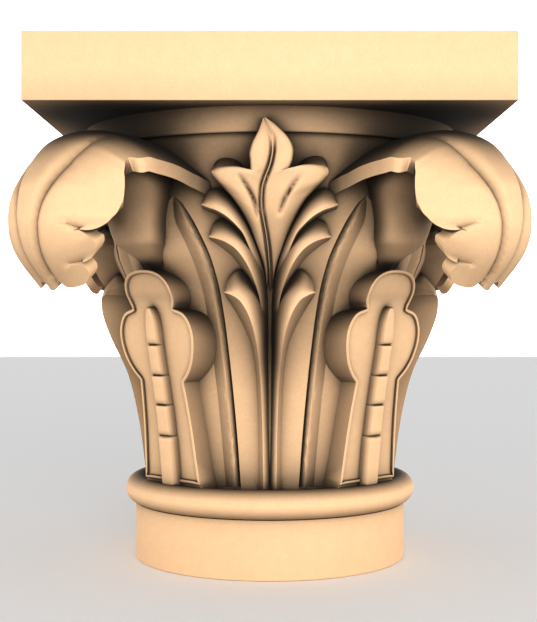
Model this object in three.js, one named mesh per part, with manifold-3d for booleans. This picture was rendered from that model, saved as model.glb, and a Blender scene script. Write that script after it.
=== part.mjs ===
// A Corinthian capital with crocket leaves, carved from one block of limestone.
// It stands on a round neck with a ring moulding. A flaring bell carries a palmette on each face,
// a trefoil leaf with a chain of beads on each diagonal, pointed blade leaves between them,
// a hooded leaf curling down under each corner, and a plain square abacus.
// Millimetres, +Z up, the origin at the middle of the underside, one face towards -Y.

import * as THREE from 'three';
import { mergeVertices } from 'three/addons/utils/BufferGeometryUtils.js';
import Module from 'manifold-3d';

// One module is the radius of the neck. All the sizes below are in modules.
const MODULE = 150;

// Levels above the underside.
const NECK_TOP = 0.41;
const RING_TOP = 0.61;
const LEAF_FOOT = 0.62;
const LIP_BOTTOM = 2.97;
const LIP_TOP = 3.13;
const CAPITAL_TOP = 3.567;

const RING_RADIUS = 0.1;
const RING_CENTRE = 0.974;
const RECESS_RADIUS = 0.87;
const LIP_RADIUS_BOTTOM = 1.347;
const LIP_RADIUS_TOP = 1.367;
const ABACUS_HALF = 1.5556;
const OVERLAP = 0.04; // how far a joined shape runs into its neighbour
const CORE_DEPTH = 0.14; // how far behind the bell's face a leaf's back lies

const ROUND_STEPS = 40;
const RING_STEPS = 5;
const FACES = 4;

// Guide points [level, radius] of the bell between the ring and the lip.
const BELL_GUIDE = [
  [0.58, 0.878], [1.2, 0.95], [1.8, 1.02], [2.4, 1.12], [2.7, 1.19], [2.97, 1.29],
];

const wasm = await Module();
wasm.setup();

// The value at one place of a guide, a short list of [place, value, value...] in rising order.
function follow(guide, place, column = 1) {
  const last = guide.length - 1;
  if (place <= guide[0][0]) {
    return guide[0][column];
  }
  for (let i = 0; i < last; i += 1) {
    const [from, to] = [guide[i], guide[i + 1]];
    if (place <= to[0]) {
      const share = (place - from[0]) / (to[0] - from[0]);
      return THREE.MathUtils.lerp(from[column], to[column], share);
    }
  }
  return guide[last][column];
}

function bellRadius(level) {
  return follow(BELL_GUIDE, level);
}

// A smooth curve through guide points of [sideways, level, radius].
function line(points) {
  const curve = new THREE.CatmullRomCurve3(points.map((point) => new THREE.Vector3(...point)));
  return (share) => curve.getPoint(share);
}

// A point on a face: sideways from the face's middle, at a level, at a radius from the axis.
function onFace(sideways, level, radius) {
  const forward = Math.sqrt(Math.max(radius * radius - sideways * sideways, 0));
  return new THREE.Vector3(sideways, -forward, level);
}

function signedVolume(corners, faces) {
  const [a, b, c] = [new THREE.Vector3(), new THREE.Vector3(), new THREE.Vector3()];
  let volume = 0;
  for (let i = 0; i < faces.length; i += 3) {
    a.fromArray(corners, 3 * faces[i]);
    b.fromArray(corners, 3 * faces[i + 1]);
    c.fromArray(corners, 3 * faces[i + 2]);
    volume += a.dot(b.cross(c));
  }
  return volume;
}

// A closed body through rings of points, one ring after another, with its ends closed to a point.
function loft(rings) {
  const around = rings[0].length;
  const corners = rings.flat().flatMap((point) => point.toArray());
  const faces = [];
  for (let i = 0; i < rings.length - 1; i += 1) {
    for (let j = 0; j < around; j += 1) {
      const here = i * around + j;
      const beside = i * around + ((j + 1) % around);
      faces.push(here, beside, beside + around, here, beside + around, here + around);
    }
  }
  const ends = [[0, true], [rings.length - 1, false]];
  for (const [ring, turned] of ends) {
    const middle = new THREE.Vector3();
    rings[ring].forEach((point) => middle.addScaledVector(point, 1 / around));
    const hub = corners.length / 3;
    corners.push(...middle.toArray());
    for (let j = 0; j < around; j += 1) {
      const here = ring * around + j;
      const beside = ring * around + ((j + 1) % around);
      faces.push(hub, ...(turned ? [beside, here] : [here, beside]));
    }
  }
  if (signedVolume(corners, faces) < 0) {
    faces.reverse();
  }
  const geometry = new THREE.BufferGeometry();
  geometry.setAttribute('position', new THREE.Float32BufferAttribute(corners, 3));
  geometry.setIndex(faces);
  return geometry;
}

function solid(geometry) {
  geometry.deleteAttribute('normal');
  geometry.deleteAttribute('uv');
  const closed = mergeVertices(geometry, 1e-5);
  return new wasm.Manifold(new wasm.Mesh({
    numProp: 3,
    vertProperties: new Float32Array(closed.attributes.position.array),
    triVerts: new Uint32Array(closed.index.array),
  }));
}

function shares(steps) {
  return Array.from({ length: steps + 1 }, (unused, i) => i / steps);
}

// The neck, the ring moulding, the bell and its lip, turned round the axis.
function body() {
  const profile = [[0, 0], [1, 0], [1, NECK_TOP]];
  for (const share of shares(RING_STEPS)) {
    const turn = Math.PI * (share - 0.5);
    profile.push([
      RING_CENTRE + RING_RADIUS * Math.cos(turn),
      (NECK_TOP + RING_TOP) / 2 + RING_RADIUS * Math.sin(turn),
    ]);
  }
  profile.push([RECESS_RADIUS, RING_TOP - RING_RADIUS / 2]);
  BELL_GUIDE.forEach(([level, radius]) => profile.push([radius, level]));
  profile.push([LIP_RADIUS_BOTTOM, LIP_BOTTOM], [LIP_RADIUS_TOP, LIP_TOP]);
  profile.push([LIP_RADIUS_TOP, LIP_TOP + OVERLAP], [0, LIP_TOP + OVERLAP]);
  const turned = new THREE.LatheGeometry(
    profile.map(([radius, level]) => new THREE.Vector2(radius, level)),
    ROUND_STEPS,
  );
  return turned.rotateX(Math.PI / 2);
}

function abacus() {
  const height = CAPITAL_TOP - LIP_TOP;
  const slab = new THREE.BoxGeometry(2 * ABACUS_HALF, 2 * ABACUS_HALF, height);
  return slab.translate(0, 0, LIP_TOP + height / 2);
}

// One lobe of a palmette: a strip that rolls from a low inner line up to a sharp ridge,
// then drops by a flank to its foot on the bell.
function lobe(lines, side) {
  const [inner, ridge, foot] = lines.map(line);
  const steps = 6;
  const rollSteps = 2;
  const rings = shares(steps).map((share) => {
    const [from, to, down] = [inner(share), ridge(share), foot(share)];
    const ring = [onFace(side * from.x, from.y, bellRadius(from.y) - CORE_DEPTH)];
    for (const roll of shares(rollSteps)) {
      ring.push(onFace(
        side * THREE.MathUtils.lerp(from.x, to.x, roll),
        THREE.MathUtils.lerp(from.y, to.y, roll),
        THREE.MathUtils.lerp(from.z, to.z, Math.sin((roll * Math.PI) / 2)),
      ));
    }
    ring.push(onFace(side * down.x, down.y, down.z));
    ring.push(onFace(side * down.x, down.y, bellRadius(down.y) - CORE_DEPTH));
    return ring;
  });
  return loft(rings);
}

// The three curling lobes of half a palmette, from the stem upwards.
const LOWEST_LOBE = [
  [[0, 0.6, 0.89], [0, 1.05, 0.92], [0, 1.5, 0.95], [0.01, 1.83, 0.98], [0.1, 2.0, 1.06],
    [0.21, 2.08, 1.08], [0.285, 2.0, 1.09]],
  [[0.055, 0.6, 0.91], [0.058, 1.05, 0.985], [0.075, 1.4, 1.08], [0.108, 1.67, 1.218],
    [0.156, 1.82, 1.255], [0.22, 1.9, 1.255], [0.298, 1.935, 1.24]],
  [[0.089, 0.6, 0.87], [0.09, 1.05, 0.92], [0.1, 1.4, 0.96], [0.14, 1.61, 0.98],
    [0.2, 1.74, 1.0], [0.25, 1.83, 1.01], [0.3, 1.915, 1.05]],
];
const MIDDLE_LOBE = [
  [[0.0, 1.7, 0.98], [0.02, 1.95, 1.05], [0.07, 2.14, 1.12], [0.13, 2.28, 1.16],
    [0.22, 2.38, 1.17], [0.33, 2.42, 1.17], [0.385, 2.36, 1.18]],
  [[0.05, 1.7, 1.05], [0.067, 1.9, 1.16], [0.114, 2.046, 1.26], [0.174, 2.16, 1.31],
    [0.233, 2.225, 1.32], [0.305, 2.27, 1.315], [0.385, 2.29, 1.3]],
  [[0.07, 1.7, 0.98], [0.1, 1.88, 1.02], [0.15, 2.0, 1.04], [0.2, 2.08, 1.05],
    [0.263, 2.15, 1.06], [0.336, 2.223, 1.08], [0.395, 2.28, 1.12]],
];
const UPPER_LOBE = [
  [[0.02, 2.0, 1.08], [0.06, 2.17, 1.16], [0.12, 2.33, 1.23], [0.18, 2.46, 1.27],
    [0.26, 2.57, 1.27], [0.36, 2.61, 1.26], [0.42, 2.56, 1.26]],
  [[0.07, 2.0, 1.1], [0.12, 2.18, 1.25], [0.178, 2.32, 1.33], [0.231, 2.38, 1.37],
    [0.302, 2.44, 1.39], [0.361, 2.469, 1.385], [0.43, 2.49, 1.37]],
  [[0.09, 2.0, 1.0], [0.15, 2.15, 1.06], [0.2, 2.29, 1.1], [0.25, 2.36, 1.12],
    [0.31, 2.41, 1.13], [0.37, 2.45, 1.15], [0.44, 2.48, 1.2]],
];

// The central leaf of a palmette, as [level, left edge, right edge, radius of its face].
const CENTRE_LEAF = [
  [1.8, -0.02, 0.02, 1.06], [2.0, -0.035, 0.035, 1.14], [2.15, -0.07, 0.07, 1.21],
  [2.3, -0.115, 0.115, 1.27], [2.45, -0.185, 0.185, 1.33], [2.57, -0.27, 0.27, 1.37],
  [2.66, -0.345, 0.345, 1.395], [2.71, -0.375, 0.38, 1.4], [2.74, -0.34, 0.36, 1.405],
  [2.752, -0.127, 0.13, 1.41], [2.82, -0.131, 0.147, 1.415], [2.89, -0.112, 0.13, 1.42],
  [2.96, -0.068, 0.085, 1.42], [3.02, -0.045, 0.025, 1.415], [3.05, -0.036, -0.02, 1.41],
];
const LEAF_CROWN = 0.02; // how far the leaf's face swells between its middle and its edges

function centreLeaf() {
  const across = 4;
  const rings = CENTRE_LEAF.map(([level, left, right, radius]) => {
    const back = bellRadius(level) - CORE_DEPTH;
    const ring = [onFace(left, level, back)];
    for (const share of shares(across)) {
      const swell = LEAF_CROWN * Math.sin(2 * Math.PI * Math.abs(share - 0.5));
      ring.push(onFace(THREE.MathUtils.lerp(left, right, share), level, radius + swell));
    }
    ring.push(onFace(right, level, back));
    return ring;
  });
  return loft(rings);
}

// A point on a corner: along the diagonal from the axis, sideways from it, at a level.
function onCorner(along, sideways, level) {
  const [cosine, sine] = [Math.SQRT1_2, Math.SQRT1_2];
  return new THREE.Vector3(
    along * sine + sideways * cosine,
    -along * cosine + sideways * sine,
    level,
  );
}

// The trefoil leaf on each diagonal, as [level, half-width, distance of its flat face].
const TREFOIL = [
  [0.6, 0.29, 0.962], [1.33, 0.231, 1.061], [1.43, 0.325, 1.08], [1.6, 0.388, 1.11],
  [1.74, 0.355, 1.128], [1.83, 0.214, 1.14], [1.9, 0.24, 1.168], [2.0, 0.215, 1.207],
  [2.06, 0.145, 1.23], [2.095, 0.03, 1.243],
];
const TREFOIL_DEPTH = 0.3;
const RIM_WIDTH = 0.024;
const RIM_HEIGHT = 0.016;

// The five beads down the middle of a trefoil, as [bottom level, top level, half-width].
const BEADS = [
  [0.62, 0.94, 0.08], [0.955, 1.16, 0.075], [1.175, 1.365, 0.071],
  [1.38, 1.575, 0.066], [1.59, 1.84, 0.06],
];
const BEAD_HEIGHT = 0.055;
const BEAD_BEVEL = 0.022;

function trefoil() {
  const rings = TREFOIL.map(([level, half, face]) => [
    onCorner(face, -half, level),
    onCorner(face, half, level),
    onCorner(face - TREFOIL_DEPTH, half, level),
    onCorner(face - TREFOIL_DEPTH, -half, level),
  ]);
  return loft(rings);
}

// The sunk field inside the trefoil's rim, as the shape to cut away.
function trefoilField() {
  const rows = TREFOIL.slice(1, -1);
  const rings = rows.map(([level, half, face]) => {
    const inside = half - RIM_WIDTH;
    return [
      onCorner(face + OVERLAP, -inside, level - RIM_WIDTH / 2),
      onCorner(face + OVERLAP, inside, level - RIM_WIDTH / 2),
      onCorner(face - RIM_HEIGHT, inside, level - RIM_WIDTH / 2),
      onCorner(face - RIM_HEIGHT, -inside, level - RIM_WIDTH / 2),
    ];
  });
  return loft(rings);
}

function trefoilFace(level) {
  return follow(TREFOIL, level, 2);
}

function bead([bottom, top, half]) {
  const rings = [bottom, top].map((level) => {
    const field = trefoilFace(level) - RIM_HEIGHT;
    const width = level === top && top > 1.8 ? half / 3 : half;
    return [
      onCorner(field - OVERLAP, -width, level),
      onCorner(field, -width, level),
      onCorner(field + BEAD_HEIGHT, -width + BEAD_BEVEL / 2, level),
      onCorner(field + BEAD_HEIGHT, width - BEAD_BEVEL / 2, level),
      onCorner(field, width, level),
      onCorner(field - OVERLAP, width, level),
    ];
  });
  return loft(rings);
}

// A blade leaf between palmette and trefoil, as [level, angle of its free edge in degrees].
const BLADE = [
  [0.6, 13.6], [1.0, 14.6], [1.4, 16.2], [1.8, 18.6], [2.2, 21.9], [2.4, 25.5], [2.56, 31],
];
const BLADE_HEIGHT = 0.03;
const BLADE_RIDGE = 7; // degrees from the free edge to the ridge
const DIAGONAL = 45; // degrees

function atAngle(degrees, level, radius) {
  const turn = THREE.MathUtils.degToRad(degrees);
  return new THREE.Vector3(radius * Math.sin(turn), -radius * Math.cos(turn), level);
}

function blade(side) {
  const rings = BLADE.map(([level, edge]) => {
    const bell = bellRadius(level);
    const ridge = Math.min(edge + BLADE_RIDGE, DIAGONAL - 4);
    return [
      atAngle(side * edge, level, bell - CORE_DEPTH),
      atAngle(side * edge, level, bell + BLADE_HEIGHT / 3),
      atAngle(side * ridge, level, bell + BLADE_HEIGHT),
      atAngle(side * DIAGONAL, level, bell + BLADE_HEIGHT),
      atAngle(side * DIAGONAL, level, bell - CORE_DEPTH),
    ];
  });
  return loft(rings);
}

// The hooded leaf's midrib, as [distance along the diagonal, level], from the bell to its tip.
const MIDRIB = [
  [1.2, 2.965], [1.35, 2.965], [1.495, 2.95], [1.631, 2.911], [1.755, 2.824], [1.874, 2.715],
  [1.973, 2.593], [2.05, 2.474], [2.074, 2.392], [2.069, 2.296], [2.041, 2.176],
  [1.992, 2.088], [1.934, 2.016],
];
const HOOD_THICKNESS = 0.088;
const HOOD_FALL = 1.45; // how fast the leaf falls away sideways from its midrib
const HOOD_SHOULDER = 0.12; // half-width of the nearly flat part beside the midrib
const CREASE_DEPTH = 0.02;
const CREASE_WIDTH = 0.06;

// Half-width of the hooded leaf, as [share of the midrib's length, half-width].
const HOOD_WIDTH = [
  [0, 0.5], [0.15, 0.52], [0.3, 0.55], [0.42, 0.575], [0.55, 0.57], [0.64, 0.5],
  [0.7, 0.33], [0.75, 0.38], [0.82, 0.38], [0.87, 0.25], [0.92, 0.24], [0.97, 0.18], [1, 0.08],
];

function hoodPoint(spine, share, sideways) {
  const at = spine.getPoint(share);
  const tangent = spine.getTangent(share);
  const out = new THREE.Vector2(-tangent.y, tangent.x);
  const reach = Math.abs(sideways);
  const fall = HOOD_FALL * Math.max(reach - HOOD_SHOULDER, 0) ** 2;
  const swell = CREASE_DEPTH * Math.min(reach / CREASE_WIDTH, 1);
  at.addScaledVector(out, swell - fall);
  return onCorner(at.x, sideways, at.y);
}

function hoodNormal(spine, share, sideways) {
  const step = 0.005;
  const [low, high] = [Math.max(share - step, 0), Math.min(share + step, 1)];
  const along = hoodPoint(spine, high, sideways).sub(hoodPoint(spine, low, sideways));
  const across = hoodPoint(spine, share, sideways + step).sub(
    hoodPoint(spine, share, sideways - step),
  );
  return across.cross(along).normalize();
}

function hood() {
  const spine = new THREE.SplineCurve(MIDRIB.map((point) => new THREE.Vector2(...point)));
  const across = 6;
  const rows = HOOD_WIDTH.map(([share]) => share);
  const rings = rows.map((share) => {
    const half = follow(HOOD_WIDTH, share);
    const outer = shares(across).map((side) => (2 * side - 1) * half);
    const top = outer.map((sideways) => hoodPoint(spine, share, sideways));
    const under = outer.map((sideways) => {
      const normal = hoodNormal(spine, share, sideways + 1e-3);
      return hoodPoint(spine, share, sideways).addScaledVector(normal, -HOOD_THICKNESS);
    });
    return [...top, ...under.reverse()];
  });
  return loft(rings);
}

// The stalk that carries the hood, as [level, distance along the diagonal, half-width].
const STALK = [
  [1.95, 1.06, 0.16], [2.1, 1.12, 0.18], [2.2, 1.17, 0.2], [2.3, 1.23, 0.24],
  [2.4, 1.31, 0.31], [2.5, 1.42, 0.4], [2.6, 1.58, 0.5], [2.68, 1.74, 0.54], [2.74, 1.74, 0.5],
];

function stalk() {
  const around = 6;
  const rings = STALK.map(([level, reach, half]) => {
    const root = bellRadius(level) - CORE_DEPTH;
    const front = shares(around).map((share) => {
      const turn = Math.PI * (share - 0.5);
      return onCorner(root + (reach - root) * Math.cos(turn), half * Math.sin(turn), level);
    });
    return front;
  });
  return loft(rings);
}

// All four faces and corners joined to the turned body and the abacus.
let capital = solid(body()).add(solid(abacus()));
const carving = [centreLeaf(), trefoil(), hood(), stalk()];
for (const side of [-1, 1]) {
  [LOWEST_LOBE, MIDDLE_LOBE, UPPER_LOBE].forEach((lines) => carving.push(lobe(lines, side)));
  carving.push(blade(side));
}
for (let face = 0; face < FACES; face += 1) {
  const turn = (face * 360) / FACES;
  for (const shape of carving) {
    capital = capital.add(solid(shape.clone()).rotate([0, 0, turn]));
  }
  capital = capital.subtract(solid(trefoilField()).rotate([0, 0, turn]));
  for (const size of BEADS) {
    capital = capital.add(solid(bead(size)).rotate([0, 0, turn]));
  }
}

const carved = capital.getMesh();
const stone = new THREE.BufferGeometry();
stone.setAttribute('position', new THREE.Float32BufferAttribute(carved.vertProperties, 3));
stone.setIndex(new THREE.Uint32BufferAttribute(carved.triVerts, 1));
stone.scale(MODULE, MODULE, MODULE);
stone.computeVertexNormals();

const block = new THREE.Mesh(
  stone,
  new THREE.MeshStandardMaterial({ color: 0xd9b98a, roughness: 0.85, metalness: 0 }),
);
block.name = 'capital';

const group = new THREE.Group();
group.add(block);

export default group;
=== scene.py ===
import math
import bpy
import numpy as np
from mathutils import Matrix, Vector
from mathutils.geometry import delaunay_2d_cdt


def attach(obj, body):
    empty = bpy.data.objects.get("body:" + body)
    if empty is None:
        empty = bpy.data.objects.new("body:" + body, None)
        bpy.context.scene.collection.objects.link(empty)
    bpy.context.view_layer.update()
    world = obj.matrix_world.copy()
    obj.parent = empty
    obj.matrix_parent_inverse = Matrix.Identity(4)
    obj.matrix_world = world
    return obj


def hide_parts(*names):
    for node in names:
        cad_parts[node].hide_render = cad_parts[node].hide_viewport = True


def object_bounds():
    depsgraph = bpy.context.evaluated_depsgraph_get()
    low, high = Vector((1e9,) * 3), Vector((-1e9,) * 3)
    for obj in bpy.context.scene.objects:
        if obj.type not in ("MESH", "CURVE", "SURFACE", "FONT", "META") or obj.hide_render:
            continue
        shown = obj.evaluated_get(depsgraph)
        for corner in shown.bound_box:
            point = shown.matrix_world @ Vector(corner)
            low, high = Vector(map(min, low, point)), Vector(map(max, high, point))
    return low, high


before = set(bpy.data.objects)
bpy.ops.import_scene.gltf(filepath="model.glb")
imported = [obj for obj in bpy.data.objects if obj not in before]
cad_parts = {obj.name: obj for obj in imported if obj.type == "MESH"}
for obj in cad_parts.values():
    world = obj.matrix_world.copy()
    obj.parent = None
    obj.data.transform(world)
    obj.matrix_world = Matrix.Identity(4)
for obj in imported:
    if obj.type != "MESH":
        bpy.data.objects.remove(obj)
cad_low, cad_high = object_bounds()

# ---------------------------------------------------------------------------------------------
# The studio. A pale floor, a large soft light low in front and a pale room, brightest at eye
# level, so that what faces the viewer is bright and the undercut carving falls into shade.
# ---------------------------------------------------------------------------------------------
CAPITAL_HEIGHT = 3.567                       # in modules
module = (cad_high[2] - cad_low[2]) / CAPITAL_HEIGHT   # the neck's radius in metres

scene = bpy.context.scene
scene.view_settings.view_transform = "Standard"

EYE_DISTANCE = 9.1361 * module
EYE_LEVEL = 1.8078 * module
EYE_LENS = 70.28
EYE_SHIFT = (-0.0022, 0.0016)
FARTHEST_SEEN = 50.0
eye = bpy.data.cameras.new("eye")
eye.sensor_width = 36.0
eye.lens = EYE_LENS
eye.shift_x, eye.shift_y = EYE_SHIFT
eye.clip_end = FARTHEST_SEEN
camera = bpy.data.objects.new("eye", eye)
camera.location = (0.0, -EYE_DISTANCE, EYE_LEVEL)
camera.rotation_euler = (math.radians(90), 0.0, 0.0)
scene.collection.objects.link(camera)
scene.camera = camera

KEY_SIZE = 1.4
KEY_WATTS = 34.5
KEY_PLACE = (0.5, -2.6, 0.42)
KEY_TARGET = (0, 0, 0.27)
lamp = bpy.data.lights.new("key", "AREA")
lamp.shape = "DISK"
lamp.size = KEY_SIZE
lamp.energy = KEY_WATTS
key = bpy.data.objects.new("key", lamp)
key.location = KEY_PLACE
aim = np.array(KEY_TARGET) - np.array(KEY_PLACE)
key.rotation_euler = (
    math.acos(-aim[2] / np.linalg.norm(aim)),
    0.0,
    math.atan2(-aim[0], aim[1]),
)
scene.collection.objects.link(key)


class Shade:
    """What changes over a surface or a sky: one node's output, used in plain arithmetic."""

    def __init__(self, tree, socket=None):
        self.tree = tree
        self.socket = socket

    def node(self, kind, settings=None, inputs=None, output=0):
        made = self.tree.nodes.new(kind)
        for key, value in (settings or {}).items():
            if key == "stops":
                stops = made.color_ramp.elements
                for index, (position, colour) in enumerate(value):
                    stop = stops[index] if index < 2 else stops.new(position)
                    stop.position = position
                    stop.color = (*colour, 1.0)
            else:
                setattr(made, key, value)
        for key, value in (inputs or {}).items():
            if isinstance(value, Shade):
                self.tree.links.new(value.socket, made.inputs[key])
            else:
                made.inputs[key].default_value = value
        return Shade(self.tree, made.outputs[output])

    def sum_up(self, operation, one, other):
        return self.node("ShaderNodeMath", {"operation": operation}, {0: one, 1: other})

    def __add__(self, other):
        return self.sum_up("ADD", self, other)

    def __radd__(self, other):
        return self.sum_up("ADD", other, self)

    def __sub__(self, other):
        return self.sum_up("SUBTRACT", self, other)

    def __rsub__(self, other):
        return self.sum_up("SUBTRACT", other, self)

    def __mul__(self, other):
        return self.sum_up("MULTIPLY", self, other)

    def __rmul__(self, other):
        return self.sum_up("MULTIPLY", other, self)

    def __abs__(self):
        return self.node("ShaderNodeMath", {"operation": "ABSOLUTE"}, {0: self})

    def feeds(self, name, socket):
        self.tree.links.new(self.socket, self.tree.nodes[name].inputs[socket])


# The room is bright at eye level all the way round and dim overhead and underfoot.
ROOM_STRENGTH = 2.65
ROOM_DIM = 0.2
DIMMING = (0.14, 0.7)                        # the slopes of view where it starts and ends
room = bpy.data.worlds.new("room")
scene.world = room
room.use_nodes = True
sky = Shade(room.node_tree)
towards = sky.node("ShaderNodeTexCoord", output="Generated")
slope = abs(sky.node("ShaderNodeSeparateXYZ", inputs={"Vector": towards}, output="Z"))
sky.node(
    "ShaderNodeMapRange", {"interpolation_type": "SMOOTHSTEP"},
    {"Value": slope, "From Min": DIMMING[0], "From Max": DIMMING[1],
     "To Min": ROOM_STRENGTH, "To Max": ROOM_DIM},
).feeds("Background", "Strength")
room.node_tree.nodes["Background"].inputs["Color"].default_value = (1, 1, 1, 1)

FLOOR_WIDTH = 12.0
FLOOR_COLOUR = (0.93, 0.93, 0.93, 1)
FLOOR_ROUGHNESS = 0.9
bpy.ops.object.select_all(action="DESELECT")
bpy.ops.mesh.primitive_plane_add(size=FLOOR_WIDTH, location=(0, 0, 0))
floor = bpy.context.object
floor.name = "floor"
pale = bpy.data.materials.new("pale_floor")
pale.use_nodes = True
painted = pale.node_tree.nodes["Principled BSDF"].inputs
painted["Base Color"].default_value = FLOOR_COLOUR
painted["Roughness"].default_value = FLOOR_ROUGHNESS
floor.data.materials.append(pale)

# ---------------------------------------------------------------------------------------------
# The turned block. The neck, its ring moulding, the flaring bell and the lip are one turned
# shape of limestone, worked on the wheel or by template before any leaf is cut.
# ---------------------------------------------------------------------------------------------
NECK_TOP = 0.41
RING_TOP = 0.61
RING_RADIUS = 0.1
RING_CENTRE = 0.974
LIP_BOTTOM = 2.97
LIP_TOP = 3.13
LEAF_BACK = 0.12                             # how far behind the bell's face a leaf's back lies

# The bell's side from its foot to the lip: [level, radius].
BELL = [
    (0.56, 0.872), (0.8, 0.903), (1.04, 0.932), (1.28, 0.959), (1.52, 0.987), (1.76, 1.018),
    (1.96, 1.062), (2.1, 1.12), (2.22, 1.172), (2.36, 1.2), (2.52, 1.217), (2.7, 1.237),
    (2.84, 1.26), (LIP_BOTTOM, 1.29),
]


def flow(points, count):
    """A smooth curve through a few points, as count points spaced evenly by guide point."""
    points = np.array(points, float)
    first = 2 * points[0] - points[1]
    last = 2 * points[-1] - points[-2]
    padded = np.vstack([first, points, last])
    place = np.linspace(0, len(points) - 1, count)
    index = np.minimum(place.astype(int), len(points) - 2)
    share = (place - index)[:, None]
    a, b, c, d = (padded[index + step] for step in range(4))
    return 0.5 * (
        2 * b + (c - a) * share
        + (2 * a - 5 * b + 4 * c - d) * share**2
        + (3 * b - a - 3 * c + d) * share**3
    )


bell_curve = flow(BELL, 200)


def bell_radius(level):
    return float(np.interp(level, bell_curve[:, 0], bell_curve[:, 1]))


def carve(name, rings):
    """A closed body whose skin runs through rings of points. A globe is added with as many
    rings and meridians as are wanted, and its points are moved to their places."""
    rings = np.array(rings, float) * module
    count, around = rings.shape[:2]
    bpy.ops.object.select_all(action="DESELECT")
    bpy.ops.mesh.primitive_uv_sphere_add(segments=around, ring_count=count + 1, radius=1.0)
    piece = bpy.context.object
    piece.name = name
    places = np.empty(len(piece.data.vertices) * 3)
    piece.data.vertices.foreach_get("co", places)
    places = places.reshape(-1, 3)
    row = np.rint(np.arccos(np.clip(places[:, 2], -1, 1)) / math.pi * (count + 1)).astype(int)
    turn = np.arctan2(places[:, 1], places[:, 0])
    column = np.rint(turn / (2 * math.pi) * around).astype(int) % around
    body_rows = np.clip(row - 1, 0, count - 1)
    moved = rings[body_rows, column]
    moved[row == 0] = rings[0].mean(axis=0)
    moved[row == count + 1] = rings[-1].mean(axis=0)
    piece.data.vertices.foreach_set("co", moved.ravel())
    piece.data.update()
    bpy.ops.object.mode_set(mode="EDIT")
    bpy.ops.mesh.select_all(action="SELECT")
    bpy.ops.mesh.normals_make_consistent(inside=False)
    bpy.ops.object.mode_set(mode="OBJECT")
    return piece


def circle(radius, level, around):
    turns = np.linspace(0, 2 * math.pi, around, endpoint=False)
    return [(radius * math.cos(turn), radius * math.sin(turn), level) for turn in turns]


ROUND_STEPS = 144
RING_STEPS = 19
BELL_STEPS = 28
INSIDE_ABACUS = LIP_TOP + 0.03
# The outline from the flat bed below the neck, up the ring and bell: [radius, level].
profile = [
    (0.5, 0.0), (0.992, 0.0), (0.998, 0.004), (1.0, 0.012), (1.0, NECK_TOP * 0.5),
    (1.0, NECK_TOP - 0.002),
]
for turn in np.linspace(-0.5, 0.5, RING_STEPS) * math.pi:
    profile.append((
        RING_CENTRE + RING_RADIUS * math.cos(turn),
        (NECK_TOP + RING_TOP) / 2 + RING_RADIUS * math.sin(turn),
    ))
profile += [(0.93, 0.595), (0.90, 0.565), (0.88, 0.545)]
profile += [(radius, level) for level, radius in flow(BELL, BELL_STEPS)]
profile += [
    (1.34, 2.966), (1.3445, 2.9705), (1.347, 2.977), (1.357, 3.05), (1.367, LIP_TOP),
    (1.367, INSIDE_ABACUS), (0.5, INSIDE_ABACUS),
]
block = carve("capital_stone", [circle(radius, level, ROUND_STEPS) for radius, level in profile])

# ---------------------------------------------------------------------------------------------
# The abacus. A plain square slab at the top of the same block, left whole above the lip. It is
# worked flat on every side, with its arrises just taken off.
# ---------------------------------------------------------------------------------------------
ABACUS_HALF = 1.5556
ARRIS = 0.006
bpy.ops.object.select_all(action="DESELECT")
bpy.ops.mesh.primitive_cube_add(
    size=1.0, location=(0, 0, (LIP_TOP + CAPITAL_HEIGHT) / 2 * module),
)
abacus = bpy.context.object
abacus.name = "abacus"
width = 2 * ABACUS_HALF * module
abacus.scale = (width, width, (CAPITAL_HEIGHT - LIP_TOP) * module)
bpy.ops.object.transform_apply(location=True, rotation=True, scale=True)
arris = abacus.modifiers.new("arris", "BEVEL")
arris.width = ARRIS * module
arris.segments = 2
bpy.ops.object.modifier_apply(modifier=arris.name)

# ---------------------------------------------------------------------------------------------
# The palmette on each face. A leaf of one tall middle lobe and two side lobes leans out over
# the lip, above three pairs of lobes that curl over, and all run down into one grooved stem.
# ---------------------------------------------------------------------------------------------


def on_face(sideways, level, radius):
    """A point on the face towards -Y: sideways from its middle, at a level, at a radius."""
    forward = math.sqrt(max(radius * radius - sideways * sideways, 0.0))
    return (sideways, -forward, level)


# Each curling lobe as its low inner line, its sharp ridge and the foot of its flank, from the
# stem to the tip: [sideways, level, radius].
LOBE_RINGS = 40
LOBE_ROLL = 11
FLANK = (0.04, 0.35, 0.7, 1.0)
LOWEST = (
    [(0, 0.6, 0.885), (0, 1.05, 0.915), (0, 1.5, 0.95), (0.008, 1.83, 0.99), (0.085, 2.0, 1.09),
     (0.20, 2.085, 1.14), (0.272, 2.03, 1.135), (0.296, 1.96, 1.145)],
    [(0.045, 0.6, 0.925), (0.05, 1.0, 0.98), (0.062, 1.34, 1.06), (0.086, 1.59, 1.175),
     (0.13, 1.765, 1.24), (0.19, 1.875, 1.255), (0.25, 1.918, 1.25), (0.299, 1.935, 1.235)],
    [(0.089, 0.6, 0.865), (0.09, 1.0, 0.91), (0.096, 1.34, 0.95), (0.122, 1.55, 0.97),
     (0.165, 1.67, 0.985), (0.215, 1.77, 1.0), (0.262, 1.85, 1.01), (0.3, 1.925, 1.06)],
)
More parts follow.
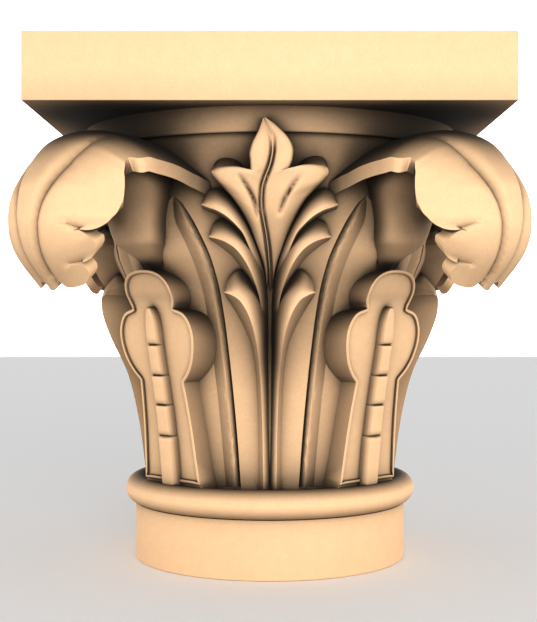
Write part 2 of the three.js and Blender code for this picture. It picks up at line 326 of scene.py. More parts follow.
MIDDLE = (
    [(0.0, 1.7, 0.98), (0.02, 1.95, 1.07), (0.06, 2.12, 1.14), (0.115, 2.26, 1.19),
     (0.19, 2.37, 1.22), (0.28, 2.42, 1.235), (0.36, 2.40, 1.235), (0.392, 2.335, 1.24)],
    [(0.05, 1.7, 1.05), (0.064, 1.88, 1.15), (0.105, 2.02, 1.25), (0.155, 2.13, 1.31),
     (0.215, 2.21, 1.33), (0.28, 2.257, 1.33), (0.34, 2.281, 1.32), (0.397, 2.295, 1.30)],
    [(0.07, 1.7, 0.98), (0.1, 1.88, 1.02), (0.15, 2.0, 1.04), (0.2, 2.08, 1.05),
     (0.255, 2.145, 1.06), (0.31, 2.19, 1.07), (0.36, 2.24, 1.08), (0.4, 2.285, 1.12)],
)
UPPER = (
    [(0.02, 2.0, 1.08), (0.055, 2.17, 1.15), (0.11, 2.32, 1.2), (0.17, 2.45, 1.23),
     (0.245, 2.56, 1.25), (0.335, 2.615, 1.26), (0.405, 2.60, 1.26), (0.438, 2.54, 1.27)],
    [(0.07, 2.0, 1.10), (0.115, 2.17, 1.24), (0.165, 2.30, 1.32), (0.215, 2.365, 1.36),
     (0.275, 2.42, 1.38), (0.34, 2.46, 1.385), (0.40, 2.482, 1.375), (0.443, 2.50, 1.36)],
    [(0.09, 2.0, 1.0), (0.14, 2.13, 1.05), (0.185, 2.26, 1.09), (0.23, 2.335, 1.11),
     (0.29, 2.395, 1.12), (0.35, 2.44, 1.13), (0.405, 2.465, 1.14), (0.447, 2.49, 1.18)],
)


def curling_lobe(name, lines, side):
    """A lobe that rolls from a low inner line over to a sharp ridge, with a flank under it."""
    inner, ridge, foot = (flow(line, LOBE_RINGS) for line in lines)
    rings = []
    for low, high, down in zip(inner, ridge, foot):
        ring = [on_face(side * low[0], low[1], bell_radius(low[1]) - LEAF_BACK)]
        for roll in np.linspace(0, 1, LOBE_ROLL):
            lift = math.sin(roll * math.pi / 2) ** 0.9
            level = low[1] + (high[1] - low[1]) * roll
            radius = low[2] + (high[2] - low[2]) * lift
            ring.append(on_face(side * (low[0] + (high[0] - low[0]) * roll), level, radius))
        for drop in FLANK:
            ring.append(on_face(
                side * (high[0] + (down[0] - high[0]) * drop),
                high[1] + (down[1] - high[1]) * drop,
                high[2] + (down[2] - high[2]) * drop,
            ))
        ring.append(on_face(side * down[0], down[1], bell_radius(down[1]) - LEAF_BACK))
        rings.append(ring)
    return carve(name, rings)


# The upright leaf, as matching points from its foot to its tip: [sideways, level, radius].
MIDRIB_LINE = [
    (0.0, 1.86, 1.0), (0.0, 2.05, 1.13), (-0.01, 2.2, 1.2), (-0.022, 2.3, 1.25),
    (-0.04, 2.4, 1.295), (-0.05, 2.46, 1.32), (-0.054, 2.51, 1.335), (-0.053, 2.56, 1.35),
    (-0.046, 2.62, 1.365), (-0.03, 2.67, 1.375), (-0.01, 2.72, 1.385), (0.006, 2.77, 1.395),
    (0.018, 2.84, 1.405), (0.014, 2.92, 1.415), (-0.012, 2.99, 1.42), (-0.034, 3.038, 1.42),
]
LEFT_EDGE = [
    (-0.012, 1.86, 1.02), (-0.035, 2.08, 1.14), (-0.09, 2.2495, 1.23), (-0.155, 2.405, 1.29),
    (-0.225, 2.52, 1.335), (-0.29, 2.6, 1.36), (-0.35, 2.665, 1.385), (-0.374, 2.712, 1.395),
    (-0.325, 2.74, 1.40), (-0.22, 2.742, 1.405), (-0.135, 2.713, 1.405), (-0.126, 2.765, 1.415),
    (-0.13, 2.825, 1.42), (-0.11, 2.895, 1.425), (-0.074, 2.963, 1.425), (-0.044, 3.04, 1.425),
]
RIGHT_EDGE = [
    (0.012, 1.86, 1.02), (0.03, 2.06, 1.14), (0.085, 2.226, 1.22), (0.146, 2.374, 1.28),
    (0.217, 2.515, 1.335), (0.287, 2.598, 1.36), (0.346, 2.657, 1.385), (0.378, 2.71, 1.395),
    (0.345, 2.75, 1.40), (0.235, 2.755, 1.405), (0.134, 2.716, 1.405), (0.145, 2.785, 1.415),
    (0.148, 2.855, 1.42), (0.115, 2.925, 1.425), (0.04, 2.998, 1.425), (-0.034, 3.048, 1.425),
]
LEAF_RINGS = 92
LEAF_ACROSS = 28
SWELL = 0.028                                # how far each half of the leaf bulges
FULL_WIDTH = 0.25                            # the half-width from which it bulges in full
GROOVE_DEPTH = 0.018                         # the pair of grooves beside the midrib
GROOVE_AWAY = 0.013
GROOVE_SPREAD = 0.007
GROOVE_END = 2.95                            # the level where they have run out
GROOVE_FADE = 0.12
RIB_HEIGHT = 0.002
RIB_SPREAD = 0.006
RIM_START = 0.93                             # the share of the width where the rim turns down
RIM_BAND = 0.07
RIM_FALL = 0.012
VEIN_DEPTH = 0.03
VEIN_SPREAD = 0.012
VEIN_POINTS = 30
SHOULDER_RISE = 0.07
SHOULDER = (6.5, 3.5)                        # where the side lobe starts, and its length
VEINS = [
    flow([(-0.19, 2.672), (-0.137, 2.598), (-0.102, 2.527), (-0.076, 2.43)], VEIN_POINTS),
    flow([(0.182, 2.668), (0.134, 2.598), (0.093, 2.527), (0.064, 2.448)], VEIN_POINTS),
]


def leaf_relief(point, share, width, middle):
    """How far the leaf's face stands out at a point, a share of the way out to its edge."""
    away = np.hypot(middle[:, 0] - point[0], middle[:, 1] - point[1]).min()
    swell = SWELL * math.sin(math.pi * share) * min(width / FULL_WIDTH, 1.0)
    groove = -GROOVE_DEPTH * math.exp(-(((away - GROOVE_AWAY) / GROOVE_SPREAD) ** 2))
    rib = RIB_HEIGHT * math.exp(-((away / RIB_SPREAD) ** 2))
    rim = -RIM_FALL * max(share - RIM_START, 0.0) / RIM_BAND
    vein = 0.0
    for line in VEINS:
        gap = np.hypot(line[:, 0] - point[0], line[:, 1] - point[1])
        nearest = int(gap.argmin())
        fade = math.sin(math.pi * (0.08 + 0.84 * nearest / (VEIN_POINTS - 1))) ** 0.6
        vein -= VEIN_DEPTH * fade * math.exp(-abs(gap[nearest] / VEIN_SPREAD) ** 1.5)
    return swell, groove + rib, rim, vein


def upright_leaf():
    middle = flow(MIDRIB_LINE, LEAF_RINGS)
    edges = [flow(LEFT_EDGE, LEAF_RINGS), flow(RIGHT_EDGE, LEAF_RINGS)]
    rings = []
    for index in range(LEAF_RINGS):
        half_rings = []
        for edge in edges:
            start, end = middle[index], edge[index]
            strip = []
            width = math.hypot(end[0] - start[0], end[1] - start[1])
            fade = min(1.0, max(0.0, (GROOVE_END - start[1]) / GROOVE_FADE))
            for share in np.linspace(0, 1, LEAF_ACROSS) ** 1.4:
                point = start + (end - start) * share
                swell, groove, rim, vein = leaf_relief(point, share, width, middle)
                radius = point[2] + swell + groove * fade + rim + vein
                strip.append((point[0], point[1], radius))
            half_rings.append(strip)
        left, right = half_rings
        front = left[::-1] + right[1:]
        place = index / (LEAF_RINGS - 1) * (len(LEFT_EDGE) - 1)
        shoulder = (place - SHOULDER[0]) / SHOULDER[1]
        hump = SHOULDER_RISE * math.sin(math.pi * min(max(shoulder, 0.0), 1.0))
        backs = []
        for sideways, level, radius in (front[0], front[-1]):
            root = bell_radius(min(level, LIP_BOTTOM)) - LEAF_BACK
            behind = on_face(sideways, level + hump, (radius + root) / 2)
            backs.append([on_face(sideways, level, root), behind])
        rings.append(backs[0] + [on_face(*point) for point in front] + backs[1][::-1])
    return carve("upright_leaf", rings)


quarter = [upright_leaf()]
for side in (-1, 1):
    for name, lines in (("lowest", LOWEST), ("middle", MIDDLE), ("upper", UPPER)):
        quarter.append(curling_lobe(f"{name}_lobe", lines, side))

# ---------------------------------------------------------------------------------------------
# The blades. A pointed leaf lies flat on the bell on each side of every palmette, with a cut
# groove along its free edge, a rib beside it and a broad plain part that runs to the corner.
# ---------------------------------------------------------------------------------------------
# The free edge and the cut side, up the bell: [level, degrees from the middle of the face].
BLADE_EDGE = [
    (0.58, 13.5), (1.0, 14.6), (1.4, 16.2), (1.8, 18.2), (2.09, 19.9), (2.22, 21.2),
    (2.38, 24.65), (2.5, 28.0), (2.55, 29.7), (2.58, 31.6),
]
BLADE_CUT = [
    (0.58, 46.0), (1.95, 46.0), (2.12, 39.4), (2.226, 39.0), (2.29, 39.0), (2.39, 38.1),
    (2.477, 36.4), (2.541, 34.6), (2.58, 31.9),
]
# Across the blade: degrees from its free edge, and how far it stands proud of the bell.
BLADE_SECTION = [
    (0.0, -0.03), (0.5, -0.019), (1.1, -0.004), (1.7, 0.004), (2.3, 0.003), (3.9, -0.009),
    (5.6, -0.021), (7.05, -0.031), (7.3, -0.0325), (7.55, -0.031),
]
# The rest of the way to the cut side, as a share of it.
BLADE_FACET = [
    (0.2, -0.022), (0.45, -0.010), (0.7, 0.004), (0.88, 0.012), (0.96, 0.010), (1.0, 0.0),
]
BLADE_RINGS = 46
BLADE_FOOT = 0.58
BLADE_TOP = 2.578
BED_FOOT = 0.612                             # the cut starts just above the ring moulding
FULL_SPAN = 12.0                             # degrees; a narrower blade has a shallower section
LEAST_SPAN = 0.3
GROOVE_WALL = 0.7                            # degrees taken up by the groove's steep side
CLEARANCE = 0.08                             # how far outside the bell the cutting shape reaches
SKIM = 0.0005                                # how far outside it the groove's wall begins


def at_angle(degrees, level, radius):
    turn = math.radians(degrees)
    return (radius * math.sin(turn), -radius * math.cos(turn), level)


def blade(side, cutter=False):
    """The blade, or the shape that is cut out of the bell over it first."""
    edge_curve = flow(BLADE_EDGE, 120)
    cut_curve = np.array(BLADE_CUT)
    rings = []
    for level in np.linspace(BED_FOOT if cutter else BLADE_FOOT, BLADE_TOP, BLADE_RINGS):
        edge = float(np.interp(level, edge_curve[:, 0], edge_curve[:, 1]))
        cut = float(np.interp(level, cut_curve[:, 0], cut_curve[:, 1]))
        bell = bell_radius(level)
        far = bell + CLEARANCE if cutter else bell - LEAF_BACK
        squeeze = min(max(cut - edge, LEAST_SPAN) / FULL_SPAN, 1.0)
        wall = GROOVE_WALL * squeeze if cutter else 0.0
        ring = [at_angle(side * (edge - wall), level, far)]
        if cutter:
            ring.append(at_angle(side * (edge - wall), level, bell + SKIM))
        for step, lift in BLADE_SECTION:
            ring.append(at_angle(side * (edge + step * squeeze), level, bell + lift * squeeze))
        reach = edge + BLADE_SECTION[-1][0] * squeeze
        for share, lift in BLADE_FACET:
            across = reach + (cut - reach) * share
            ring.append(at_angle(side * across, level, bell + lift * squeeze))
        ring.append(at_angle(side * cut, level, far))
        rings.append(ring)
    return carve("blade", rings)


quarter += [blade(-1), blade(1)]
blade_beds = [blade(-1, cutter=True), blade(1, cutter=True)]

# ---------------------------------------------------------------------------------------------
# The trefoil on each diagonal. A thick flat-faced leaf of three lobes with a fine raised rim
# round a sunk field, and a chain of five beads standing on its middle.
# ---------------------------------------------------------------------------------------------
# The face's distance from the axis, and half the outline from the stem to the top:
# [level, along the diagonal] and [sideways, level].
TREFOIL_FACE = [
    (0.56, 0.957), (0.95, 1.0), (1.164, 1.031), (1.366, 1.067), (1.58, 1.1075), (1.84, 1.145),
    (1.95, 1.187), (2.095, 1.243),
]
STEM_SIDE = [(0.288, 0.63), (0.262, 0.95), (0.231, 1.33)]
SIDE_LOBE = [
    (0.231, 1.33), (0.292, 1.385), (0.352, 1.475), (0.387, 1.60), (0.376, 1.71),
    (0.316, 1.795), (0.214, 1.83),
]
TOP_LOBE = [
    (0.214, 1.83), (0.238, 1.885), (0.2425, 1.95), (0.218, 2.015), (0.165, 2.062),
    (0.09, 2.087), (0.0, 2.095),
]
STEM_FOOT = (0.0, 0.63)
SUNK_FOOT = (0.292, 0.56)                    # the slab's foot is hidden in the ring moulding
SLAB_DEPTH = 0.3
SLAB_ACROSS = 7
TOP_HALF = 0.004
RIM_HEIGHT = 0.017
RIM_WIDTH = 0.024
FOOT_STEPS = 6
# Across the rim from the outline inwards, and how high it stands: up its outside, over a narrow
# arris, and then by shares of its width.
RIM_OUTSIDE = [(0.0, -0.05), (0.0, -0.004)]
RIM_ARRIS = 0.004
RIM_INSIDE = [(0.5, 0.001), (0.85, 0.0), (1.0, -0.005), (1.15, -0.05)]


def on_corner(along, sideways, level):
    """A point at the corner towards +X -Y: along its diagonal, sideways from it, at a level."""
    root = math.sqrt(0.5)
    return ((along + sideways) * root, (sideways - along) * root, level)


def trefoil_face(level):
    return float(np.interp(level, face_curve[:, 0], face_curve[:, 1]))


face_curve = flow(TREFOIL_FACE, 120)
half_outline = np.vstack([flow(STEM_SIDE, 14), flow(SIDE_LOBE, 26)[1:], flow(TOP_LOBE, 22)[1:]])
outline = np.vstack([half_outline, (half_outline * (-1, 1))[::-1][1:]])


def trefoil_slab():
    levels = np.concatenate([[SUNK_FOOT[1]], half_outline[:, 1]])
    halves = np.concatenate([[SUNK_FOOT[0]], half_outline[:, 0]])
    halves[-1] = TOP_HALF
    rings = []
    for level, half in zip(levels, halves):
        face = trefoil_face(level) - RIM_HEIGHT
        ring = [on_corner(face - SLAB_DEPTH, -half, level)]
        ring += [
            on_corner(face, half * share, level) for share in np.linspace(-1, 1, SLAB_ACROSS)
        ]
        ring.append(on_corner(face - SLAB_DEPTH, half, level))
        rings.append(ring)
    return carve("trefoil_slab", rings)


def trefoil_rim():
    path = np.vstack([
        flow([STEM_FOOT, outline[0]], FOOT_STEPS)[:-1],
        outline,
        flow([outline[-1], STEM_FOOT], FOOT_STEPS)[1:],
    ])
    ahead = np.vstack([path[1:], path[-1:] * 2 - path[-2:-1]])
    behind = np.vstack([path[:1] * 2 - path[1:2], path[:-1]])
    heading = ahead - behind
    heading /= np.linalg.norm(heading, axis=1)[:, None]
    inward = np.stack([-heading[:, 1], heading[:, 0]], axis=1)
    section = RIM_OUTSIDE + [(RIM_ARRIS, 0.0)]
    section += [(share * RIM_WIDTH, lift) for share, lift in RIM_INSIDE]
    rings = []
    for point, side in zip(path, inward):
        ring = []
        for shift, lift in section:
            place = point + side * shift
            ring.append(on_corner(trefoil_face(place[1]) + lift, place[0], place[1]))
        rings.append(ring)
    return carve("trefoil_rim", rings)


# Each bead from the lowest up: [bottom, top, half-width, half-width at its top].
BEADS = [
    (0.6, 0.9515, 0.086, 0.072), (0.95, 1.1685, 0.079, 0.076), (1.167, 1.3735, 0.074, 0.073),
    (1.372, 1.5845, 0.069, 0.069), (1.583, 1.845, 0.064, 0.018),
]
# Where its rings stand up its length, and its section: a share of its half-width, and of its rise.
BEAD_RINGS = (0.0, 0.03, 0.08, 0.2, 0.4, 0.6, 0.75, 0.88, 0.95, 0.985, 1.0)
BEAD_SECTION = [
    (-1.0, 0.0), (-0.93, 0.55), (-0.72, 0.94), (-0.6, 1.0), (0.0, 1.02), (0.6, 1.0),
    (0.72, 0.94), (0.93, 0.55), (1.0, 0.0),
]
BEAD_SUNK = 0.05
BEAD_END = 0.016                             # the length over which each end is rounded off
END_RISE = 0.66                              # the share of its height that an end keeps
BEAD_HEIGHT = 0.056


def bead(bottom, top, half, half_top):
    pointed = half_top < half / 2
    rings = []
    for share in BEAD_RINGS:
        level = bottom + (top - bottom) * share
        width = half
        if pointed:
            width = half * math.sqrt(max(1 - max(share - 0.25, 0) ** 2 / 0.57, 0.0)) + TOP_HALF
        end = min(share, 1 - share) * (top - bottom)
        rounding = math.sin(min(end / BEAD_END, 1.0) * math.pi / 2)
        height = BEAD_HEIGHT * (END_RISE + (1 - END_RISE) * rounding)
        field = trefoil_face(level) - RIM_HEIGHT
        ring = [on_corner(field - BEAD_SUNK, -width, level)]
        for across, rise in BEAD_SECTION:
            ring.append(on_corner(field + height * rise, width * across, level))
        ring.append(on_corner(field - BEAD_SUNK, width, level))
        rings.append(ring)
    return carve("bead", rings)


quarter += [trefoil_slab(), trefoil_rim()]
quarter += [bead(*size) for size in BEADS]

# ---------------------------------------------------------------------------------------------
# The hooded leaf under each corner. It springs from the bell below the lip, bows out as a thick
# sheet with a broad rounded midrib, and curls down with three lobes on each side of a blunt tip.
# ---------------------------------------------------------------------------------------------
# Its crest from the root over to the tip, in the plane of the diagonal: [along it, level].
CREST = [
    (1.05, 2.915), (1.31, 2.968), (1.5, 2.99), (1.66, 2.996), (1.79, 2.973), (1.895, 2.924),
    (1.975, 2.86), (2.04, 2.787), (2.10, 2.70), (2.147, 2.61), (2.176, 2.5), (2.186, 2.39),
    (2.172, 2.28), (2.135, 2.175), (2.078, 2.085), (1.995, 1.99),
]
# Each of these changes along the crest: the length run so far, and the value there.
ARCH = [
    (0, 0.86), (0.13, 0.88), (0.255, 0.82), (0.43, 0.76), (0.61, 0.68), (0.75, 0.63),
    (0.87, 0.57), (1.09, 0.5), (1.3, 0.48), (1.52, 0.48), (1.7, 0.485), (1.82, 0.51),
    (1.94, 0.56), (2.1, 0.64),
]
SIDE_FALL = [
    (0, 0.0), (0.56, 0.05), (0.87, 0.42), (1.0, 0.68), (1.09, 0.83), (1.2, 0.94), (1.3, 0.98),
    (1.52, 1.0), (1.7, 1.04), (1.82, 1.14), (1.94, 1.32), (2.1, 1.62),
]
MIDRIB_HALF = [
    (0, 0.34), (0.62, 0.30), (0.80, 0.26), (0.93, 0.235), (1.0, 0.22), (1.09, 0.205),
    (1.20, 0.175), (1.30, 0.15), (1.40, 0.125), (1.52, 0.105), (1.65, 0.088), (1.75, 0.075),
    (1.9, 0.058), (2.1, 0.05),
]
GROOVE = [
    (0, 0.0), (0.62, 0.0), (0.8, 0.02), (0.95, 0.045), (1.09, 0.06), (1.25, 0.06), (1.4, 0.042),
    (1.52, 0.034), (2.1, 0.03),
]
FLAT_HALF = 0.1
GROOVE_RUNOUT = 0.05
HOOD_THICKNESS = 0.09
HOOD_WIDTH = 0.55
# Half its outline, laid flat, edge by edge: [the length run along the crest, sideways].
ROOT_EDGE = [
    (0.0, 0.555), (0.06, 0.535), (0.13, 0.52), (0.255, 0.52), (0.404, 0.528), (0.503, 0.538),
    (0.62, 0.543), (0.70, 0.532), (0.752, 0.512), (0.79, 0.504),
]
FIRST_LOBE = [
    (0.79, 0.504), (0.84, 0.508), (0.902, 0.515), (0.968, 0.524), (1.047, 0.536), (1.11, 0.544),
    (1.179, 0.549), (1.26, 0.55), (1.338, 0.546), (1.444, 0.532), (1.55, 0.508), (1.605, 0.48),
    (1.63, 0.448), (1.63, 0.416), (1.617, 0.388), (1.601, 0.364),
]
SECOND_LOBE = [
    (1.601, 0.364), (1.628, 0.384), (1.668, 0.402), (1.723, 0.415), (1.774, 0.418),
    (1.813, 0.411), (1.85, 0.398), (1.875, 0.38), (1.888, 0.36), (1.89, 0.334), (1.884, 0.302),
]
THIRD_LOBE = [
    (1.884, 0.302), (1.921, 0.308), (1.958, 0.307), (1.993, 0.294), (2.02, 0.265),
    (2.027, 0.236), (2.02, 0.19), (2.01, 0.15), (1.996, 0.126), (1.975, 0.112), (1.953, 0.098),
]
TIP = [(1.953, 0.098), (1.968, 0.076), (1.99, 0.056), (2.008, 0.03), (2.014, 0.0)]
CREASES = [
    [(1.601, 0.364), (1.564, 0.33), (1.543, 0.3), (1.531, 0.256)],
    [(1.884, 0.302), (1.861, 0.258), (1.845, 0.21)],
]
CREASE_DEPTH = 0.027
CREASE_WALL = 0.011                          # the width of its steep side
CREASE_ROLL = 0.042                          # and of the side that rolls down into it
# How far the leaf's back edge is cut back from its front edge, sideways and up the leaf.
UNDERCUT = [(0, 0.0), (0.79, 0.0), (0.9, 1.1), (1.3, 1.2), (1.56, 0.9), (1.66, 0.1), (2.1, 0.1)]
UNDERCUT_UP = [(0, 0.0), (1.2, 0.0), (1.45, 1.1), (1.6, 1.1), (1.68, 0.0), (2.1, 0.0)]
CELL = 0.023                                 # the size of the triangles that fill the leaf
EDGE_GAP = 0.62                              # the gap between points on its edges, in cells
CRISP_RIB = (0.4, 1.9)                       # where the triangles follow the midrib's edge

crest_curve = flow(CREST, 1200)
steps = np.linalg.norm(np.diff(crest_curve, axis=0), axis=1)
crest_run = np.concatenate([[0], np.cumsum(steps)])
crest_heading = np.gradient(crest_curve, axis=0)
crest_heading /= np.linalg.norm(crest_heading, axis=1)[:, None]
crease_curves = [flow(crease, 24) for crease in CREASES]


def along_crest(run, table):
    return np.interp(run, [place for place, value in table], [value for place, value in table])


def hood_point(run, sideways, depth=0.0):
    """A point of the leaf: a length along its crest, sideways from it, and a depth below it."""
    back_share = 1 - along_crest(run, UNDERCUT) * depth / HOOD_WIDTH
    run -= along_crest(run, UNDERCUT_UP) * depth * min(abs(sideways) / HOOD_WIDTH, 1.0)
    inside = min(run, crest_run[-1])
    place = np.array([np.interp(inside, crest_run, crest_curve[:, axis]) for axis in (0, 1)])
    heading = np.array([np.interp(inside, crest_run, crest_heading[:, axis]) for axis in (0, 1)])
    heading /= np.linalg.norm(heading)
    place = place + heading * (run - inside)
    out = np.array([-heading[1], heading[0]])
    reach = abs(sideways)
    half = along_crest(run, MIDRIB_HALF)
    beside = (reach / half) ** 5 if reach < half else math.exp((half - reach) / GROOVE_RUNOUT)
    drop = along_crest(run, ARCH) * reach**2
    drop += along_crest(run, SIDE_FALL) * max(reach - FLAT_HALF, 0) ** 2
    drop += along_crest(run, GROOVE) * beside
    for crease in crease_curves:
        gap = np.hypot(crease[:, 0] - run, crease[:, 1] - reach)
        nearest = int(gap.argmin())
        share = 1 - nearest / (len(crease) - 1)
        above = run < np.interp(reach, crease[::-1, 1], crease[::-1, 0])
        if above:
            roll = math.exp(-gap[nearest] / CREASE_ROLL)
        else:
            roll = max(1 - gap[nearest] / CREASE_WALL, 0.0)
        drop += CREASE_DEPTH * share**0.8 * roll
    place = place - out * (drop + depth)
    return on_corner(place[0], sideways * back_share, place[1])


def even(points, gap):
    """Points spaced evenly along a smooth curve through a few."""
    curve = flow(points, 40 * len(points))
    run = np.concatenate([[0], np.cumsum(np.linalg.norm(np.diff(curve, axis=0), axis=1))])
    wanted = np.linspace(0, run[-1], max(int(round(run[-1] / gap)), 2) + 1)
    return np.stack([np.interp(wanted, run, curve[:, axis]) for axis in (0, 1)], axis=1)


def sheet(name, rim, creases, cell, front, back):
    """A closed sheet: a plane outline filled with small triangles, which follow its creases,
    then carried onto the leaf's front and back and closed by a rim."""
    points = [tuple(point) for point in rim]
    links = [(index, (index + 1) % len(rim)) for index in range(len(rim))]
    for crease in creases:
        start = len(points)
        points += [tuple(point) for point in crease]
        links += [(start + index, start + index + 1) for index in range(len(crease) - 1)]
    placed = np.array(points)
    low, high = rim.min(axis=0), rim.max(axis=0)
    clear = cell * EDGE_GAP
    for row, first in enumerate(np.arange(low[0] + cell / 2, high[0], cell * 0.87)):
        for second in np.arange(low[1] + cell * (0.25 + 0.5 * (row % 2)), high[1], cell):
            if np.hypot(placed[:, 0] - first, placed[:, 1] - second).min() > clear:
                points.append((first, second))
    spots, _, faces, _, _, _ = delaunay_2d_cdt(
        [Vector(point) for point in points], links, [list(range(len(rim)))], 1, 1e-6,
    )
    spots = np.array([tuple(spot) for spot in spots])
    faces = [list(face) for face in faces]
    count = len(spots)
    edges = {}
    for face in faces:
        for index in range(len(face)):
            edges[(face[index], face[(index + 1) % len(face)])] = True
    border = [edge for edge in edges if (edge[1], edge[0]) not in edges]
    places = [front(*spot) for spot in spots] + [back(*spot) for spot in spots]
    skin = list(faces)
    skin += [[index + count for index in reversed(face)] for face in faces]
    skin += [[one, one + count, other + count, other] for one, other in border]
    mesh = bpy.data.meshes.new(name)
    mesh.from_pydata((np.array(places) * module).tolist(), [], skin)
    mesh.update()
    piece = bpy.data.objects.new(name, mesh)
    scene.collection.objects.link(piece)
    bpy.ops.object.select_all(action="DESELECT")
    bpy.context.view_layer.objects.active = piece
    piece.select_set(True)
    bpy.ops.object.mode_set(mode="EDIT")
    bpy.ops.mesh.select_all(action="SELECT")
    bpy.ops.mesh.remove_doubles(threshold=1e-7)
    bpy.ops.mesh.quads_convert_to_tris()
    bpy.ops.mesh.normals_make_consistent(inside=False)
    bpy.ops.object.mode_set(mode="OBJECT")
    return piece


def hood():
    gap = CELL * EDGE_GAP
    edges = (ROOT_EDGE, FIRST_LOBE, SECOND_LOBE, THIRD_LOBE, TIP)
    half = [even(edge, gap)[:-1] for edge in edges]
    half = np.vstack(half + [np.array([TIP[-1]])])
    rim = np.vstack([half, (half * (1, -1))[::-1][1:]])
    creases = []
    for crease in CREASES:
        line = even(crease, gap)
        wall = line[2:] + (CREASE_WALL, 0)
        creases += [line[1:], line[1:] * (1, -1), wall, wall * (1, -1)]
    runs = np.arange(*CRISP_RIB, gap)
    for share in (1.0, -1.0):
        creases.append(np.stack([runs, share * along_crest(runs, MIDRIB_HALF)], axis=1))
    return sheet(
        "hood", rim, creases, CELL,
        hood_point,
        lambda run, sideways: hood_point(run, sideways, HOOD_THICKNESS),
    )


# The scooped stalk under the leaf: [level, reach, half-width at the bell, half-width out front].
STALK = [
    (2.04, 1.08, 0.08, 0.08), (2.11, 1.15, 0.10, 0.11), (2.18, 1.25, 0.115, 0.15),
    (2.235, 1.345, 0.13, 0.2), (2.27, 1.385, 0.135, 0.24), (2.33, 1.41, 0.14, 0.27),
    (2.42, 1.44, 0.15, 0.29), (2.5, 1.48, 0.17, 0.33), (2.58, 1.55, 0.2, 0.4),
    (2.66, 1.66, 0.24, 0.46), (2.74, 1.75, 0.28, 0.46), (2.82, 1.82, 0.26, 0.37),
    (2.87, 1.84, 0.2, 0.24),
]
STALK_RINGS = 36
STALK_ACROSS = 29
STALK_ROUNDING = 0.65                        # below 1, its sides are fuller than a half-round


def stalk():
    rings = []
    for level, reach, near, far in flow(STALK, STALK_RINGS):
        root = bell_radius(level) - LEAF_BACK
        ring = []
        for turn in np.linspace(-0.5, 0.5, STALK_ACROSS) * math.pi:
            out = max(math.cos(turn), 0.0) ** STALK_ROUNDING
            half = near + (far - near) * min(out * 1.3, 1.0)
            ring.append(on_corner(root + (reach - root) * out, half * math.sin(turn), level))
        rings.append(ring)
    return carve("stalk", rings)


quarter += [hood(), stalk()]

# ---------------------------------------------------------------------------------------------
# The one stone. Every leaf is left standing from the same block of honey-coloured limestone, so
# all of them are joined into one skin. A quarter of them is made, then turned to each corner.
# ---------------------------------------------------------------------------------------------


def work(base, piece, operation="UNION"):
    """Joins a piece to a base as one closed skin, or cuts it out with the operation DIFFERENCE."""
    bpy.ops.object.select_all(action="DESELECT")
    bpy.context.view_layer.objects.active = base
    base.select_set(True)
    step = base.modifiers.new("step", "BOOLEAN")
    step.operation = operation
    step.solver = "MANIFOLD"
    step.object = piece
    bpy.ops.object.modifier_apply(modifier=step.name)
    bpy.data.objects.remove(piece)


def turned_copy(piece, quarters):
    copy = piece.copy()
    copy.data = piece.data.copy()
    scene.collection.objects.link(copy)
    bpy.ops.object.select_all(action="DESELECT")
    bpy.context.view_layer.objects.active = copy
    copy.select_set(True)
    copy.rotation_euler = (0, 0, quarters * math.pi / 2)
    bpy.ops.object.transform_apply(location=True, rotation=True, scale=True)
    return copy


first = quarter[0]
for piece in quarter[1:]:
    work(first, piece)
work(block, abacus)
for shape in blade_beds:
    for quarters in range(4):
        work(block, turned_copy(shape, quarters), "DIFFERENCE")
    bpy.data.objects.remove(shape)
for quarters in range(4):
    work(block, turned_copy(first, quarters))
bpy.data.objects.remove(first)

MOST_TRIANGLES = 192000
SMOOTH_BELOW = math.radians(38)
bpy.ops.object.select_all(action="DESELECT")
bpy.context.view_layer.objects.active = block
block.select_set(True)
triangles = sum(len(face.vertices) - 2 for face in block.data.polygons)
thinning = block.modifiers.new("thinning", "DECIMATE")
thinning.ratio = min(MOST_TRIANGLES / triangles, 1.0)
bpy.ops.object.modifier_apply(modifier=thinning.name)
bpy.ops.object.shade_smooth_by_angle(angle=SMOOTH_BELOW)

BRIGHT_STONE = (0.80, 0.502, 0.274)
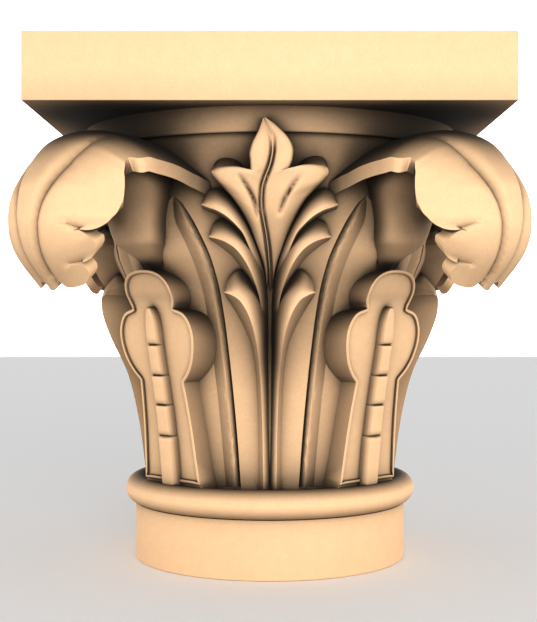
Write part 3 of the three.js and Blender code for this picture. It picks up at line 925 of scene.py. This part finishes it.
# Painted shade in recesses: how open a place is, from a deep recess at 0 to the open air at 1, and
# how much of the stone's colour is left there, darkest where least light would reach. The ramp's
# own two stops come first.
RECESS_SHADE = [
    (0.0, 0.012), (0.985, 1.0), (0.32, 0.024), (0.5, 0.10), (0.68, 0.33), (0.84, 0.62),
    (0.93, 0.84),
]
SHELTER_REACH = 0.095                        # metres
stone = bpy.data.materials.new("honey_limestone")
stone.use_nodes = True
cut = Shade(stone.node_tree)
place = cut.node("ShaderNodeTexCoord", output="Object")
openness = cut.node(
    "ShaderNodeAmbientOcclusion", {"samples": 12, "only_local": True},
    {"Distance": SHELTER_REACH}, "AO",
)
# Painted shade: the stone's colour is darkened by the ramp above in creases, recesses and under the
# leaves.
painted_recess_shade = cut.node(
    "ShaderNodeValToRGB",
    {"stops": [(open_air, [part * left for part in BRIGHT_STONE]) for open_air, left in RECESS_SHADE]},
    {"Fac": openness},
)
bedding, mottle = (
    cut.node(
        "ShaderNodeTexNoise", inputs={"Vector": place, "Scale": scale, "Detail": 3.0}, output="Fac",
    ) for scale in (7.0, 90.0)
)
grain = cut.node(
    "ShaderNodeTexNoise",
    inputs={"Vector": place, "Scale": 520.0, "Detail": 4.0, "Roughness": 0.7}, output="Fac",
)
facing = cut.node("ShaderNodeNewGeometry", output="Normal")
upward = cut.node("ShaderNodeSeparateXYZ", inputs={"Vector": facing}, output="Z")
# Painted shade: what leans outward and down is darkened to just over half, standing in for the
# light that doesn't reach it from below.
underside_shade = cut.node(
    "ShaderNodeMapRange",
    inputs={"Value": upward, "From Min": -0.7, "From Max": -0.02, "To Min": 0.55, "To Max": 1.0},
)
# Painted shade: what faces up is darkened to half, as the tops of the leaves lie in shade under the
# abacus.
upper_face_shade = cut.node(
    "ShaderNodeMapRange",
    inputs={"Value": upward, "From Min": 0.3, "From Max": 0.95, "To Min": 1.0, "To Max": 0.5},
)
speckle = 0.10 * (bedding - 0.5) + 0.12 * (mottle - 0.5) + 0.28 * (grain - 0.5)
# The painted shade on downward- and upward-facing faces, times the stone's own random speckle.
tone = underside_shade * upper_face_shade * (1.0 + speckle)
cut.node(
    "ShaderNodeVectorMath", {"operation": "SCALE"}, {"Vector": painted_recess_shade, "Scale": tone},
).feeds("Principled BSDF", "Base Color")
(0.86 + 0.25 * (grain - 0.5) - 0.06 * openness).feeds("Principled BSDF", "Roughness")
cut.node(
    "ShaderNodeBump",
    inputs={"Strength": 0.35, "Distance": 0.0006, "Height": grain * 0.7 + mottle * 0.6},
).feeds("Principled BSDF", "Normal")
stone.node_tree.nodes["Principled BSDF"].inputs["Specular IOR Level"].default_value = 0.2
block.data.materials.clear()
block.data.materials.append(stone)

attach(block, "root")
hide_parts("capital")
